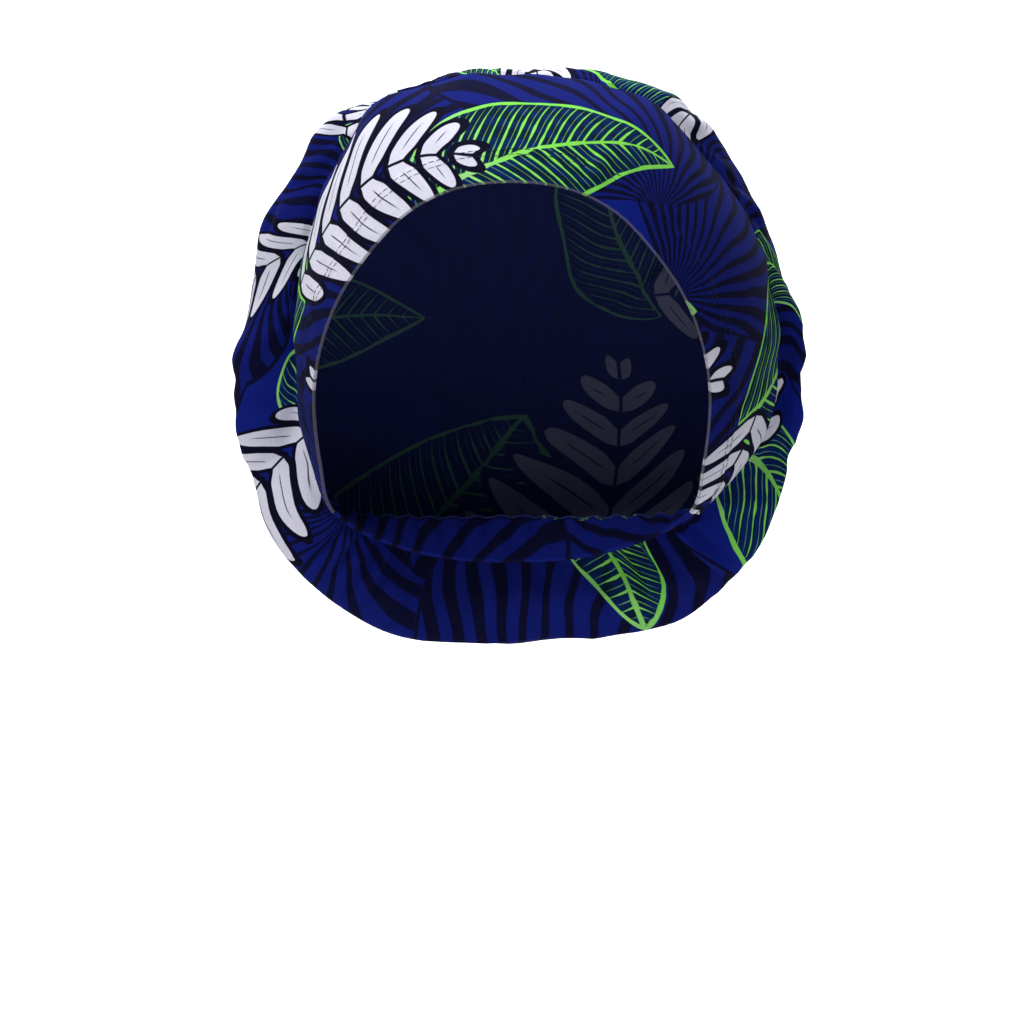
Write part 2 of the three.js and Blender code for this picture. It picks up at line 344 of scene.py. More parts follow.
def round_edges(piece):
    """Rounds the folded edges of a wall of cloth."""
    fold = piece.modifiers.new("folded edge", "BEVEL")
    fold.affect = "EDGES"
    fold.limit_method = "ANGLE"
    fold.angle_limit = FOLDED_EDGE_ANGLE
    fold.width = FOLDED_EDGE
    fold.segments = 2
    fold.profile = 0.5


# The bag
BAG_COLUMNS = 300
BAG_ROWS = 110
ROWS_TO_SEAM = 1.25
bag_columns_at = {}
bag_lengths_at = {}


def bag_place(u, v):
    key = round(u * BAG_COLUMNS)
    if key not in bag_columns_at:
        bag_columns_at[key] = bag_column(2 * u - 1)
    return bag_columns_at[key](v ** ROWS_TO_SEAM)


def bag_flat(u, v):
    """The bag is cut as a round: the middle of the back is the centre of the cut and the seam its edge."""
    key = round(u * BAG_COLUMNS)
    if key not in bag_lengths_at:
        points = [bag_place(u, step / BAG_ROWS) for step in range(BAG_ROWS, -1, -1)]
        lengths = [0.0]
        for start, end in zip(points, points[1:]):
            lengths.append(lengths[-1] + (start - end).length)
        bag_lengths_at[key] = lengths[::-1]
    radius = bag_lengths_at[key][round(v * BAG_ROWS)]
    angle = (2 * u - 1) * math.pi
    return radius * math.sin(angle), radius * math.cos(angle)


# The bag has a little more cloth than its form, which sags over the fullness of the hair.
DRAPE_COLUMNS = 150
DRAPE_ROWS = 45
DRAPE_SLACK = 0.07
DRAPE_FRAMES = 28
DRAPE_LIMIT = 0.006
DRAPE_SMOOTHING = 2
SEAM_ROWS_HELD = 2
CLOTH_SETTINGS = dict(
    quality=6, mass=0.08, tension_stiffness=20, compression_stiffness=20, shear_stiffness=8, bending_stiffness=2.5,
    shrink_min=-DRAPE_SLACK,
)
GIRTH_CALM = 0.55
GIRTH_CALM_SPREAD = 0.2
HAIR_INSET = 0.003
HAIR_FRICTION = 20
TOUCHING = 0.001
PUCKER_HEIGHT = 0.0009
PUCKER_RISE = (0, 0.02)
PUCKER_FADE = (0.02, 0.2)
SEAM_DIP = 0.0007
SEAM_DIP_REACH = (0, 0.022)
DRAPE_RISE = (0, 0.06)


def drape_grid(name, inset):
    """The bag's form as a coarse grid, moved inwards by inset, and the column and row of each corner."""
    piece, bm, share = cloth_grid(name, DRAPE_COLUMNS, DRAPE_ROWS, bag_place, lambda u, v: (u, v))
    bmesh.ops.remove_doubles(bm, verts=bm.verts, dist=MERGE_DISTANCE)
    raise_relief(bm, share, lambda u, v: bag_relief(2 * u - 1, v ** ROWS_TO_SEAM) - inset)
    keys = [
        (round(vert[share].x * DRAPE_COLUMNS) % DRAPE_COLUMNS, round(vert[share].y * DRAPE_ROWS))
        for vert in bm.verts
    ]
    bm.to_mesh(piece.data)
    bm.free()
    return piece, keys


def drape_bag():
    """How far the slack cloth ends up from the bag's form, along its normal, for each corner of the drape grid."""
    cloth, keys = drape_grid("slack bag", 0)
    hair, _ = drape_grid("hair's fullness", HAIR_INSET)
    held = cloth.vertex_groups.new(name="seam")
    held.add([index for index, (_, row) in enumerate(keys) if row < SEAM_ROWS_HELD], 1.0, "REPLACE")
    hair.modifiers.new("push", "COLLISION")
    hair.collision.thickness_outer = TOUCHING
    hair.collision.cloth_friction = HAIR_FRICTION
    drape = cloth.modifiers.new("drape", "CLOTH")
    for setting, value in CLOTH_SETTINGS.items():
        setattr(drape.settings, setting, value)
    drape.settings.vertex_group_mass = "seam"
    drape.collision_settings.distance_min = TOUCHING
    for step in range(1, DRAPE_FRAMES + 1):
        scene.frame_set(step)
    settled = cloth.evaluated_get(bpy.context.evaluated_depsgraph_get()).data
    far = [(after.co - vert.co).dot(vert.normal) for vert, after in zip(cloth.data.vertices, settled.vertices)]
    for _ in range(DRAPE_SMOOTHING):
        total = [0.0] * len(far)
        count = [0] * len(far)
        for edge in cloth.data.edges:
            one, other = edge.vertices
            total[one] += far[other]
            total[other] += far[one]
            count[one] += 1
            count[other] += 1
        far = [mix(own, near / number, 0.5) for own, near, number in zip(far, total, count)]
    moves = {key: DRAPE_LIMIT * math.tanh(move / DRAPE_LIMIT) for key, move in zip(keys, far)}
    scene.frame_set(1)
    for piece in (cloth, hair):
        mesh = piece.data
        bpy.data.objects.remove(piece)
        bpy.data.meshes.remove(mesh)
    return moves


bag_drape = {}


def draped(u, v):
    """The drape between the four nearest corners of its grid."""
    column, row = u * DRAPE_COLUMNS, min(v * DRAPE_ROWS, DRAPE_ROWS - 1e-6)
    left, low = int(column), int(row)

    def at(over, up):
        if low + up == DRAPE_ROWS:
            return bag_drape["pole"]
        return bag_drape.get(((left + over) % DRAPE_COLUMNS, low + up), 0.0)

    near = mix(at(0, 0), at(1, 0), column - left)
    far = mix(at(0, 1), at(1, 1), column - left)
    return mix(near, far, row - low)


def bag_surface(u, v):
    """Folds and gathers, the drape, puckers that fade away from the seam, and the dip into the seam."""
    reach = v ** ROWS_TO_SEAM
    pucker = noise.noise(Vector((u * 95, reach * 4, 1.5))) * PUCKER_HEIGHT
    pucker *= (1 - ease(*PUCKER_FADE, reach)) * ease(*PUCKER_RISE, reach)
    dip = SEAM_DIP * (1 - ease(*SEAM_DIP_REACH, reach))
    held = 1 - GIRTH_CALM * swell((reach - GIRTH_REACH) / GIRTH_CALM_SPREAD)
    return bag_relief(2 * u - 1, reach) + draped(u, v) * held * ease(*DRAPE_RISE, reach) + pucker - dip


def make_bag():
    bag_drape.update(drape_bag())
    bag_drape["pole"] = next((move for (_, row), move in bag_drape.items() if row == DRAPE_ROWS), 0.0)
    piece, bm, share = cloth_grid("crown_bag_cloth", BAG_COLUMNS, BAG_ROWS, bag_place, bag_flat)
    bmesh.ops.remove_doubles(bm, verts=bm.verts, dist=MERGE_DISTANCE)
    raise_relief(bm, share, bag_surface)
    finish_mesh(piece, bm)
    return piece


# The panel and the casing
PANEL_COLUMNS = 260
PANEL_ROWS = 70
CASING_COLUMNS = 150
CASING_ROWS = 12


def band_flat(from_turn, to_turn, columns):
    """The band lies flat along its middle line, each column as wide as the band is there."""
    turns = [mix(from_turn, to_turn, step / columns) for step in range(columns + 1)]
    middles = [band_at(turn, 0.5) for turn in turns]
    along = [0.0]
    for start, end in zip(middles, middles[1:]):
        along.append(along[-1] + (end - start).length)
    half = along[-1] / 2

    def flat_place(u, v):
        key = round(u * columns)
        return along[key] - half, (v - 0.5) * band_frame(turns[key])[1].length

    return flat_place


HEM_HEIGHT = 0.0005
HEM_SLOPE = (0.0137, 0.0163)
HEM_PUCKER = 0.0010
HEM_PUCKER_RISE = (0.003, 0.012)
HEM_PUCKER_FADE = (0.014, 0.026)
PANEL_WAVE = 0.0019
PANEL_SLACK = 0.0021
PANEL_SEAM_DIP = 0.0005


def panel_surface(u, v):
    """The turned hem with its puckers, soft waves that start at the seam, and slight ease between."""
    from_edge = v * band_frame(mix(-PANEL_END, PANEL_END, u))[1].length
    hem = HEM_HEIGHT * (1 - ease(*HEM_SLOPE, from_edge))
    near_stitches = ease(*HEM_PUCKER_RISE, from_edge) * (1 - ease(*HEM_PUCKER_FADE, from_edge))
    pucker = noise.noise(Vector((u * 74, v * 3, 2.0))) * HEM_PUCKER * near_stitches
    wave = noise.noise(Vector((u * 30, v * 1.6, 4.0))) * PANEL_WAVE * ease(0.25, 1, v)
    slack = noise.noise(Vector((u * 9, v * 1.1, 9.0))) * PANEL_SLACK * math.sin(v * math.pi)
    dip = PANEL_SEAM_DIP * ease(0.955, 1, v)
    return hem + pucker + wave + slack - dip


def make_band(name, from_turn, to_turn, columns, rows, surface):
    """A band of cloth between two turns. Each corner keeps its way from the folded edge, for the painted highlight
    there.
    """
    def place(u, v):
        return band_at(mix(from_turn, to_turn, u), v)

    piece, bm, share = cloth_grid(name, columns, rows, place, band_flat(from_turn, to_turn, columns))
    from_edge = bm.verts.layers.float.new("from_edge")
    for vert in bm.verts:
        u, v, _ = vert[share]
        vert[from_edge] = v * band_frame(mix(from_turn, to_turn, u))[1].length
    raise_relief(bm, share, surface)
    finish_mesh(piece, bm)
    return piece


# Colours, as light that the cloth gives back.
ROYAL = (0.0050, 0.0135, 0.195, 1)
DEEP_ROYAL = (0.0065, 0.0080, 0.088, 1)
FAN_GROUND = (0.0056, 0.0110, 0.140, 1)
NAVY = (0.0040, 0.0040, 0.015, 1)
LIME = (0.19, 0.62, 0.080, 1)
LEAF_SHADE = (0.0015, 0.018, 0.040, 1)
PALE_LIME = (0.32, 0.61, 0.26, 1)
LAVENDER_WHITE = (0.67, 0.66, 0.78, 1)
GREYED_WHITE = (0.56, 0.57, 0.68, 1)
# The pale line along a folded edge is a painted highlight: light on the cloth's thickness, painted into the
# colour.
EDGE_HIGHLIGHT = (0.15, 0.14, 0.17, 1)
REVERSE_GROUND = (0.022, 0.030, 0.13, 1)
DARK_THREAD = (0.003, 0.004, 0.024, 1)
THREAD = (0.008, 0.010, 0.05, 1)


class Signal:
    """A value in a node tree, with arithmetic that adds the nodes."""

    def __init__(self, tree, socket):
        self.tree = tree
        self.socket = socket

    def work(self, operation, *others):
        node = self.tree.nodes.new("ShaderNodeMath")
        node.operation = operation
        for slot, value in zip(node.inputs, (self, *others)):
            if isinstance(value, Signal):
                self.tree.links.new(value.socket, slot)
            else:
                slot.default_value = value
        return Signal(self.tree, node.outputs[0])

    def __add__(self, other):
        return self.work("ADD", other)

    def __sub__(self, other):
        return self.work("SUBTRACT", other)

    def __mul__(self, other):
        return self.work("MULTIPLY", other)

    def __truediv__(self, other):
        return self.work("DIVIDE", other)

    def __abs__(self):
        return self.work("ABSOLUTE")

    def __pow__(self, other):
        return self.work("POWER", other)

    def clamp(self):
        return self.work("MAXIMUM", 0.0).work("MINIMUM", 1.0)

    def rest(self):
        """What is left to 1."""
        return self * -1.0 + 1.0

    def arch(self, lean):
        """A bump from 0 to 0 between 0 and 1, with its peak nearer the start for a smaller lean."""
        return ((self ** lean) * math.pi).work("SINE").work("MAXIMUM", 0.0)

    def rise(self, low, high):
        """0 below low, 1 above high, and smooth between."""
        node = self.tree.nodes.new("ShaderNodeMapRange")
        node.interpolation_type = "SMOOTHSTEP"
        for slot, value in zip(node.inputs, (self, low, high)):
            if isinstance(value, Signal):
                self.tree.links.new(value.socket, slot)
            else:
                slot.default_value = value
        return Signal(self.tree, node.outputs[0])


def new_group(name, inputs, outputs):
    """A shader node group with named sockets. Returns the group, its inputs as signals and its output node."""
    tree = bpy.data.node_groups.new(name, "ShaderNodeTree")
    for label, kind in inputs:
        tree.interface.new_socket(name=label, in_out="INPUT", socket_type=kind)
    for label, kind in outputs:
        tree.interface.new_socket(name=label, in_out="OUTPUT", socket_type=kind)
    source = tree.nodes.new("NodeGroupInput")
    sink = tree.nodes.new("NodeGroupOutput")
    return tree, {label: Signal(tree, source.outputs[label]) for label, _ in inputs}, sink


def use_group(tree, group, **values):
    """Places a group in a tree. Underscores in a value's name stand for the spaces in its socket's name."""
    node = tree.nodes.new("ShaderNodeGroup")
    node.node_tree = group
    for label, value in values.items():
        slot = node.inputs[label.replace("_", " ")]
        if isinstance(value, Signal):
            tree.links.new(value.socket, slot)
        else:
            slot.default_value = value
    return {output.name: Signal(tree, output) for output in node.outputs}


def add_noise(tree, place, scale, detail=2):
    node = tree.nodes.new("ShaderNodeTexNoise")
    node.inputs["Scale"].default_value = scale
    node.inputs["Detail"].default_value = detail
    tree.links.new(place, node.inputs["Vector"])
    return node


def blend_colour(tree, mask, under, over):
    node = tree.nodes.new("ShaderNodeMix")
    node.data_type = "RGBA"
    for slot, value in ((node.inputs["Factor"], mask), (node.inputs[6], under), (node.inputs[7], over)):
        if isinstance(value, Signal):
            tree.links.new(value.socket, slot)
        else:
            slot.default_value = value
    return Signal(tree, node.outputs[2])


FLOAT = "NodeSocketFloat"
VECTOR = "NodeSocketVector"
COLOUR = "NodeSocketColor"
LEAF_SOCKETS = [("Cut", VECTOR), ("Centre X", FLOAT), ("Centre Y", FLOAT), ("Angle", FLOAT), ("Length", FLOAT)]
PRINT_SCALE = 0.8
REPEAT_WIDTH = 0.250
REPEAT_HEIGHT = 0.225
SOFT_EDGE = 0.00035
RIM_WIDTH = 0.0022
HAND_DRIFT = 0.0055
THREAD_PITCH = 0.00028
WEAVE_DEPTH = 0.00012
WEAVE_STRENGTH = 0.2
# How wide and how strong the painted highlight along a folded edge is.
EDGE_HIGHLIGHT_WIDTH = 0.0011
EDGE_HIGHLIGHT_STRENGTH = 0.5
COTTON = {"Roughness": 0.85, "Specular IOR Level": 0.02, "Sheen Weight": 0.008, "Sheen Roughness": 0.4}
COTTON_THREAD = {"Roughness": 0.7, "Specular IOR Level": 0.12}


def make_leaf_place():
    """Where a leaf lies in the repeat: how far a point is along it and across it."""
    tree, given, sink = new_group(
        "leaf place",
        LEAF_SOCKETS,
        [("Along", FLOAT), ("Across", FLOAT)],
    )
    apart = tree.nodes.new("ShaderNodeSeparateXYZ")
    tree.links.new(given["Cut"].socket, apart.inputs[0])
    x, y = Signal(tree, apart.outputs[0]), Signal(tree, apart.outputs[1])
    x = (x - given["Centre X"]).work("WRAP", REPEAT_WIDTH / 2, -REPEAT_WIDTH / 2)
    y = (y - given["Centre Y"]).work("WRAP", REPEAT_HEIGHT / 2, -REPEAT_HEIGHT / 2)
    cosine = given["Angle"].work("COSINE")
    sine = given["Angle"].work("SINE")
    along = x * cosine + y * sine + given["Length"] * 0.5
    across = y * cosine - x * sine
    tree.links.new(along.socket, sink.inputs["Along"])
    tree.links.new(across.socket, sink.inputs["Across"])
    return tree


def along_and_across(tree, leaf_place, given):
    place = use_group(tree, leaf_place, **{label.replace(" ", "_"): given[label] for label, _ in LEAF_SOCKETS})
    return place["Along"], place["Across"]


VEINED_LEAF_LEAN = 0.72
VEINED_LEAF_FULLNESS = 0.85
VEIN_SLANT = 0.75
VEIN_CURVE = 7.0
LINE_UNEVENNESS = 1.7
LINE_LEAST = 0.2
VEIN_WIDTH = 0.62
VEIN_FADE = 0.7
VEIN_LEAST = 0.5
FINE_VEIN_OFFSET = 0.44
FINE_VEIN_WIDTH = 0.24
FINE_VEIN_STRENGTH = 0.75
OUTLINE_WIDTH = 1.15
RIB_WIDTH = 1.5
RIB_TAPER = -0.9
SHADE_FROM = 0.6
SHADE_WIDTH = 2.2


def make_veined_leaf(leaf_place):
    """A long pointed leaf drawn in lines: an outline, a midrib and side veins that sweep forwards."""
    tree, given, sink = new_group(
        "veined leaf",
        LEAF_SOCKETS + [("Half Width", FLOAT), ("Vein Pitch", FLOAT), ("Line", FLOAT)],
        [("Body", FLOAT), ("Lines", FLOAT), ("Shade", FLOAT)],
    )
    along, across = along_and_across(tree, leaf_place, given)
    share = (along / given["Length"]).clamp()
    half = share.arch(VEINED_LEAF_LEAN) ** VEINED_LEAF_FULLNESS * given["Half Width"]
    side = abs(across)
    inside = half - side
    body = inside.rise(0.0, SOFT_EDGE)
    hand = add_noise(tree, given["Cut"].socket, scale=150, detail=1)
    line = given["Line"] * (Signal(tree, hand.outputs[0]) * LINE_UNEVENNESS + LINE_LEAST)
    sweep = (along - side * VEIN_SLANT - side * side * VEIN_CURVE) / given["Vein Pitch"]
    comb = abs(sweep.work("FRACT") - 0.5) * given["Vein Pitch"]
    between = abs((sweep + FINE_VEIN_OFFSET).work("FRACT") - 0.5) * given["Vein Pitch"]
    fade = (inside / given["Half Width"]).rise(0.0, 0.5) * VEIN_FADE + VEIN_LEAST
    vein = (line * fade * VEIN_WIDTH - comb).rise(0.0, SOFT_EDGE)
    off_border = (inside / given["Half Width"]).rise(0.03, 0.2)
    fine_vein = (line * FINE_VEIN_WIDTH - between).rise(-0.0001, SOFT_EDGE) * off_border * FINE_VEIN_STRENGTH
    border = (line * OUTLINE_WIDTH - abs(inside - given["Line"])).rise(0.0, SOFT_EDGE)
    rib_width = line * ((share * RIB_TAPER) + RIB_WIDTH)
    rib = (rib_width - side).rise(0.0, SOFT_EDGE)
    lines = vein.work("MAXIMUM", border).work("MAXIMUM", rib).work("MAXIMUM", fine_vein) * body
    shade = (comb - line * SHADE_FROM).rise(given["Line"] * SHADE_WIDTH, 0.0) * body
    tree.links.new(body.socket, sink.inputs["Body"])
    tree.links.new(lines.socket, sink.inputs["Lines"])
    tree.links.new(shade.socket, sink.inputs["Shade"])
    return tree


FROND_LEAN = 0.6
FROND_FULLNESS = 0.6
LEAFLET_SLANT = 0.55
LEAFLET_CURVE = 4.0
LEAST_LEAFLET = 0.0005
STEM_REACH = 0.006
NARROWING_AT_STEM = 0.35
STEM_SLIT = (0.0004, 0.0009)
MIDLINE_HALF = 0.00042
MIDLINE_START = (0.004, 0.007)
MIDLINE_END = (0.82, 0.6)


def round_tip(out):
    """The width of a leaflet along its length, from 1 at the stem to 0 at its round tip."""
    return (out * out * out * out).rest().work("MAXIMUM", 0.0) ** 0.5


def make_frond(leaf_place):
    """A palm frond: leaflets that slant forwards from a stem, each with a round tip and a dark rim."""
    tree, given, sink = new_group(
        "palm frond",
        LEAF_SOCKETS + [("Half Width", FLOAT), ("Leaflet Pitch", FLOAT), ("Gap", FLOAT)],
        [("Leaflets", FLOAT), ("Rim", FLOAT)],
    )
    along, across = along_and_across(tree, leaf_place, given)
    side = abs(across)
    step = (along - side * LEAFLET_SLANT - side * side * LEAFLET_CURVE) / given["Leaflet Pitch"]
    share = (step.work("FLOOR") + 0.5) * given["Leaflet Pitch"] / given["Length"]
    reach = share.clamp().arch(FROND_LEAN) ** FROND_FULLNESS * given["Half Width"] + LEAST_LEAFLET
    out = (side / reach).work("MINIMUM", 1.0)
    near_stem = side.rise(0.0, STEM_REACH) * NARROWING_AT_STEM + (1 - NARROWING_AT_STEM)
    blade_half = given["Gap"].rest() * given["Leaflet Pitch"] * 0.5
    off_middle = abs(step.work("FRACT") - 0.5) * given["Leaflet Pitch"]
    room = round_tip(out) * near_stem * blade_half - off_middle
    on_frond = share.rise(0.0, 0.02) * share.rise(1.0, 0.98) * (reach - side).rise(-0.0004, 0.0)
    leaflets = room.rise(0.0, SOFT_EDGE) * on_frond * side.rise(*STEM_SLIT)
    rim_out = (side / (reach + RIM_WIDTH)).work("MINIMUM", 1.0)
    rim_room = round_tip(rim_out) * (near_stem * blade_half + RIM_WIDTH) - off_middle
    rim_frond = share.rise(-0.02, 0.0) * share.rise(1.02, 1.0)
    rim = rim_room.rise(0.0, SOFT_EDGE) * rim_frond
    on_midline = (off_middle * -1.0 + MIDLINE_HALF).rise(0.0, SOFT_EDGE)
    midline = on_midline * out.rise(*MIDLINE_END) * side.rise(*MIDLINE_START)
    tree.links.new((leaflets * midline.rest()).socket, sink.inputs["Leaflets"])
    tree.links.new(rim.socket, sink.inputs["Rim"])
    return tree


FAN_LEAN = 0.8
FAN_FULLNESS = 0.6
FAN_STEM = 0.004
LOBE_COUNT = 5.2
LOBE_DEPTH = 0.22
LOBE_BASE = 0.82
STROKE_WAVER = 0.9
STROKE_SWELL = 0.12
STROKE_EDGE = 0.07
FAN_BORDER = 0.0010
FAN_BORDER_HALF = 0.0014
FAN_EDGE = 0.0006


def make_shade_fan(leaf_place):
    """A broad leaf in navy on the royal ground: close dark strokes that fan out from its stem."""
    tree, given, sink = new_group(
        "shade fan",
        LEAF_SOCKETS + [("Half Width", FLOAT), ("Strokes", FLOAT), ("Gap", FLOAT)],
        [("Body", FLOAT), ("Strokes", FLOAT)],
    )
    along, across = along_and_across(tree, leaf_place, given)
    share = (along / given["Length"]).clamp()
    way = across.work("ARCTAN2", along + FAN_STEM)
    lobes = abs((way * LOBE_COUNT).work("SINE")) * LOBE_DEPTH + LOBE_BASE
    half = share.arch(FAN_LEAN) ** FAN_FULLNESS * given["Half Width"] * lobes
    inside = half - abs(across)
    body = inside.rise(-FAN_EDGE, FAN_EDGE)
    hand = add_noise(tree, given["Cut"].socket, scale=45, detail=0)
    waver = Signal(tree, hand.outputs[0]) * STROKE_WAVER
    stroke = abs(((way * given["Strokes"]) + waver).work("FRACT") - 0.5)
    thick = given["Gap"] + (inside / given["Half Width"]).rise(0.9, 0.0) * STROKE_SWELL
    border = (abs(inside - FAN_BORDER) * -1.0 + FAN_BORDER_HALF).rise(0.0, FAN_EDGE)
    strokes = stroke.rise(thick, thick - STROKE_EDGE).work("MAXIMUM", border) * body
    tree.links.new(body.socket, sink.inputs["Body"])
    tree.links.new(strokes.socket, sink.inputs["Strokes"])
    return tree


# Leaves of the repeat: centre x and y, angle in degrees, length, half width, strokes to a radian, and the share of
# the gaps between the strokes.
SHADE_FANS = [
    (0.074, -0.006, 50, 0.120, 0.056, 7.6, 0.20),
    (-0.098, 0.070, 160, 0.115, 0.052, 7.2, 0.20),
    (-0.012, -0.078, 200, 0.120, 0.054, 7.6, 0.20),
    (0.104, -0.100, 100, 0.110, 0.050, 7.2, 0.20),
    (0.010, 0.062, -30, 0.105, 0.048, 7.2, 0.20),
    (0.050, -0.098, 128, 0.110, 0.050, 7.2, 0.20),
    (-0.100, -0.045, -60, 0.112, 0.050, 7.2, 0.20),
]
# The same for the lime leaves, with the pitch of the veins and the width of the lines.
LIME_LEAVES = [
    (-0.052, 0.004, 148, 0.108, 0.029, 0.0058, 0.00085),
    (0.105, 0.028, 68, 0.105, 0.027, 0.0056, 0.00085),
    (-0.085, -0.078, 105, 0.105, 0.028, 0.0058, 0.00085),
    (0.036, 0.086, 20, 0.100, 0.025, 0.0055, 0.00085),
]
# The same for the fronds, with the pitch of the leaflets and the share of the gaps between them.
WHITE_FRONDS = [
    (0.028, -0.006, 24, 0.096, 0.029, 0.0125, 0.24),
    (-0.108, 0.040, 70, 0.092, 0.027, 0.0120, 0.24),
    (-0.030, 0.096, -14, 0.092, 0.027, 0.0120, 0.24),
]


ROYAL_PATCHES = (0.35, 0.7)
LIME_PATCHES = (0.42, 0.62)
WHITE_PATCHES = (0.4, 0.65)
ROYAL_DEPTH = 0.3
STROKE_INK = 0.92
LIME_PALENESS = 0.6
LEAF_TINT = 0.45
VEIN_SHADING = 0.8


def make_leaf_print(shade_fan, veined_leaf, frond):
    """The printed pattern on the flat cut: dark fans on royal blue, then lime leaves, then white fronds."""
    tree, given, sink = new_group("leaf print", [("Cut", VECTOR)], [("Colour", COLOUR)])
    wobble = add_noise(tree, given["Cut"].socket, scale=32, detail=0)
    drift = tree.nodes.new("ShaderNodeVectorMath")
    drift.operation = "MULTIPLY_ADD"
    tree.links.new(wobble.outputs["Color"], drift.inputs[0])
    drift.inputs[1].default_value = (HAND_DRIFT, HAND_DRIFT, 0)
    tree.links.new(given["Cut"].socket, drift.inputs[2])
    cut = Signal(tree, drift.outputs[0])
    patch = add_noise(tree, given["Cut"].socket, scale=18)
    depth = Signal(tree, patch.outputs[0])

    def placed(row, group, pitch_name, last_name):
        x, y, degrees, length, half, pitch, last = row
        return use_group(tree, group, **{
            "Cut": cut, "Centre_X": x, "Centre_Y": y, "Angle": math.radians(degrees), "Length": length,
            "Half_Width": half, pitch_name: pitch, last_name: last,
        })

    colour = blend_colour(tree, depth.rise(*ROYAL_PATCHES) * ROYAL_DEPTH, ROYAL, DEEP_ROYAL)
    for row in SHADE_FANS:
        leaf = placed(row, shade_fan, "Strokes", "Gap")
        colour = blend_colour(tree, leaf["Body"], colour, FAN_GROUND)
        colour = blend_colour(tree, leaf["Strokes"] * STROKE_INK, colour, NAVY)
    lime = blend_colour(tree, depth.rise(*LIME_PATCHES) * LIME_PALENESS, LIME, PALE_LIME)
    white = blend_colour(tree, depth.rise(*WHITE_PATCHES), LAVENDER_WHITE, GREYED_WHITE)
    for row in LIME_LEAVES:
        leaf = placed(row, veined_leaf, "Vein_Pitch", "Line")
        colour = blend_colour(tree, leaf["Body"] * LEAF_TINT, colour, LEAF_SHADE)
        colour = blend_colour(tree, leaf["Shade"] * VEIN_SHADING, colour, LEAF_SHADE)
        colour = blend_colour(tree, leaf["Lines"], colour, lime)
    for row in WHITE_FRONDS:
        leaf = placed(row, frond, "Leaflet_Pitch", "Gap")
        colour = blend_colour(tree, leaf["Rim"], colour, NAVY)
        colour = blend_colour(tree, leaf["Leaflets"], colour, white)
    tree.links.new(colour.socket, sink.inputs["Colour"])
    return tree


WEAVE_HEIGHT = 0.5
WEAVE_TONE = 0.05
SLUB_TONE = 0.25


def make_poplin():
    """Plain weave: threads that pass over and under each other, with slubs, as a height and a tone."""
    tree, given, sink = new_group(
        "poplin weave",
        [("Cut", VECTOR), ("Thread", FLOAT)],
        [("Height", FLOAT), ("Tone", FLOAT)],
    )
    apart = tree.nodes.new("ShaderNodeSeparateXYZ")
    tree.links.new(given["Cut"].socket, apart.inputs[0])
    warp = Signal(tree, apart.outputs[0]) / given["Thread"] * math.pi
    weft = Signal(tree, apart.outputs[1]) / given["Thread"] * math.pi
    checks = warp.work("SINE") * weft.work("SINE")
    slub = add_noise(tree, given["Cut"].socket, scale=900, detail=1)
    height = checks * WEAVE_HEIGHT + Signal(tree, slub.outputs[0])
    tone = (Signal(tree, slub.outputs[0]) - 0.5) * SLUB_TONE + checks * WEAVE_TONE + 1.0
    tree.links.new(height.socket, sink.inputs["Height"])
    tree.links.new(tone.socket, sink.inputs["Tone"])
    return tree


def cloth_material(name, leaf_print, poplin, shift=(0, 0), fade=0.0, edge_highlight=False):
    """Printed poplin. shift slides the print on the cut, fade washes it out, as on the cloth's reverse, and
    the edge flag paints a pale highlight along a folded edge, where light catches the cloth's thickness."""
    material = bpy.data.materials.new(name)
    material.use_nodes = True
    tree = material.node_tree
    shader = tree.nodes["Principled BSDF"]
    cut = tree.nodes.new("ShaderNodeUVMap")
    cut.uv_map = "flat_cut"
    slide = tree.nodes.new("ShaderNodeMapping")
    slide.inputs["Location"].default_value = (*shift, 0)
    slide.inputs["Scale"].default_value = (PRINT_SCALE, PRINT_SCALE, 1)
    tree.links.new(cut.outputs[0], slide.inputs[0])
    printed = use_group(tree, leaf_print, Cut=Signal(tree, slide.outputs[0]))
    woven = use_group(tree, poplin, Cut=Signal(tree, cut.outputs[0]), Thread=THREAD_PITCH)
    colour = printed["Colour"]
    if fade:
        colour = blend_colour(tree, fade, colour, REVERSE_GROUND)
    # Painted highlight: the colour turns pale along the folded edge, standing in for light on the cloth's
    # thickness.
    if edge_highlight:
        distance = tree.nodes.new("ShaderNodeAttribute")
        distance.attribute_name = "from_edge"
        highlight_wobble = add_noise(tree, cut.outputs[0], scale=260)
        reach = Signal(tree, highlight_wobble.outputs[0]) * EDGE_HIGHLIGHT_WIDTH
        painted_highlight = Signal(tree, distance.outputs["Fac"]).rise(reach, reach * 0.3) * EDGE_HIGHLIGHT_STRENGTH
        colour = blend_colour(tree, painted_highlight, colour, EDGE_HIGHLIGHT)
    toned = tree.nodes.new("ShaderNodeMix")
    toned.data_type = "RGBA"
    toned.blend_type = "MULTIPLY"
    toned.inputs["Factor"].default_value = 1.0
    tree.links.new(colour.socket, toned.inputs[6])
    tree.links.new(woven["Tone"].socket, toned.inputs[7])
    tree.links.new(toned.outputs[2], shader.inputs["Base Color"])
    for label, value in COTTON.items():
        shader.inputs[label].default_value = value
    bump = tree.nodes.new("ShaderNodeBump")
    bump.inputs["Strength"].default_value = WEAVE_STRENGTH
    bump.inputs["Distance"].default_value = WEAVE_DEPTH
    tree.links.new(woven["Height"].socket, bump.inputs["Height"])
    tree.links.new(bump.outputs[0], shader.inputs["Normal"])
    return material


